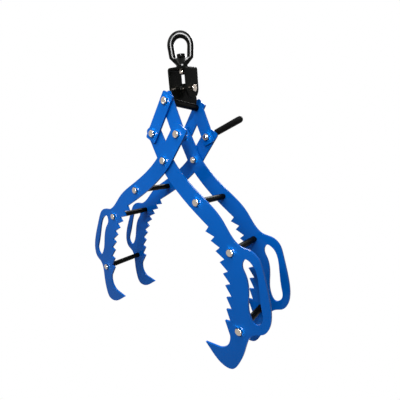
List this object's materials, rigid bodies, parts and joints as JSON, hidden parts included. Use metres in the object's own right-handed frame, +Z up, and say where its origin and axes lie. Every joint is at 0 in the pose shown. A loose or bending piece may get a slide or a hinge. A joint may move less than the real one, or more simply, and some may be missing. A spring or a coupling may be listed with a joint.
{
  "type": "log grapple",
  "caption": "Hanging scissor grapple for logs: toothed claw plates in pairs, crossed levers with links, round bars across, yoke and swivel eye, release handle.",
  "frame": {"origin": "inner crown of the swivel eye, where a hook carries the grapple", "axes": "+X across the jaws, +Y from the front plates to the back ones (the handle's side), +Z up"},
  "size_m": [0.702, 0.1813, 0.8818],
  "materials": {
    "blue_paint": "gloss",
    "black_paint": "satin",
    "zinc": "bright",
    "grip_rubber": "matte"
  },
  "bodies": {
    "eye": {"swivel_eye": "black_paint"},
    "yoke": {"yoke": "black_paint", "swivel_bolt": "black_paint", "swivel_nut": "zinc", "yoke_bolt": "zinc", "yoke_nut": "zinc"},
    "crosspiece": {"crossbar": "black_paint", "lug_plate": "black_paint", "top_bolts": "zinc"},
    "left_links": {"left_link_front": "blue_paint", "left_link_back": "blue_paint"},
    "right_links": {"right_link_front": "blue_paint", "right_link_back": "blue_paint"},
    "right_jaw": {"right_claw_front": "blue_paint", "right_claw_back": "blue_paint", "right_bar_upper": "black_paint", "right_bar_middle": "black_paint", "right_bar_lower": "black_paint", "right_jaw_bolts": "zinc", "centre_bolts": "zinc", "centre_nuts": "zinc", "left_pivot_bolts": "zinc", "left_pivot_nuts": "zinc"},
    "left_jaw": {"left_claw_front": "blue_paint", "left_claw_back": "blue_paint", "left_bar_upper": "black_paint", "left_bar_middle": "black_paint", "left_bar_lower": "black_paint", "left_jaw_bolts": "zinc", "right_pivot_bolts": "zinc", "right_pivot_nuts": "zinc", "handle_rod": "black_paint", "handle_grip": "grip_rubber"}
  },
  "joints": [
    {"name": "swivel", "type": "hinge", "parent": "eye", "child": "yoke", "pos_m": [0, 0.02507, -0.12435], "axis": [0, -0.1977, 0.9803], "continuous": true},
    {"name": "head_hinge", "type": "hinge", "parent": "yoke", "child": "crosspiece", "pos_m": [0, 0.02507, -0.12435], "axis": [1, 0, 0], "range_deg": [-65, 88]},
    {"name": "grip", "type": "hinge", "parent": "crosspiece", "child": "left_links", "pos_m": [0, 0.02507, -0.16855], "axis": [0, 1, 0], "range_deg": [-13.5, 20]},
    {"name": "right_link_hinge", "type": "hinge", "parent": "crosspiece", "child": "right_links", "pos_m": [0, 0.02507, -0.16855], "axis": [0, 1, 0], "range_deg": [-20, 13.5]},
    {"name": "right_jaw_hinge", "type": "hinge", "parent": "left_links", "child": "right_jaw", "pos_m": [-0.0455, 0.02507, -0.25535], "axis": [0, 1, 0], "range_deg": [-44.3, 29.9]},
    {"name": "left_jaw_hinge", "type": "hinge", "parent": "right_links", "child": "left_jaw", "pos_m": [0.0455, 0.02507, -0.25535], "axis": [0, 1, 0], "range_deg": [-29.9, 44.3]}
  ],
  "couplings": [
    {"joint": "right_link_hinge", "follows": "grip", "ratio": -1},
    {"joint": "right_jaw_hinge", "follows": "grip", "ratio": -2.215},
    {"joint": "left_jaw_hinge", "follows": "grip", "ratio": 2.215}
  ]
}
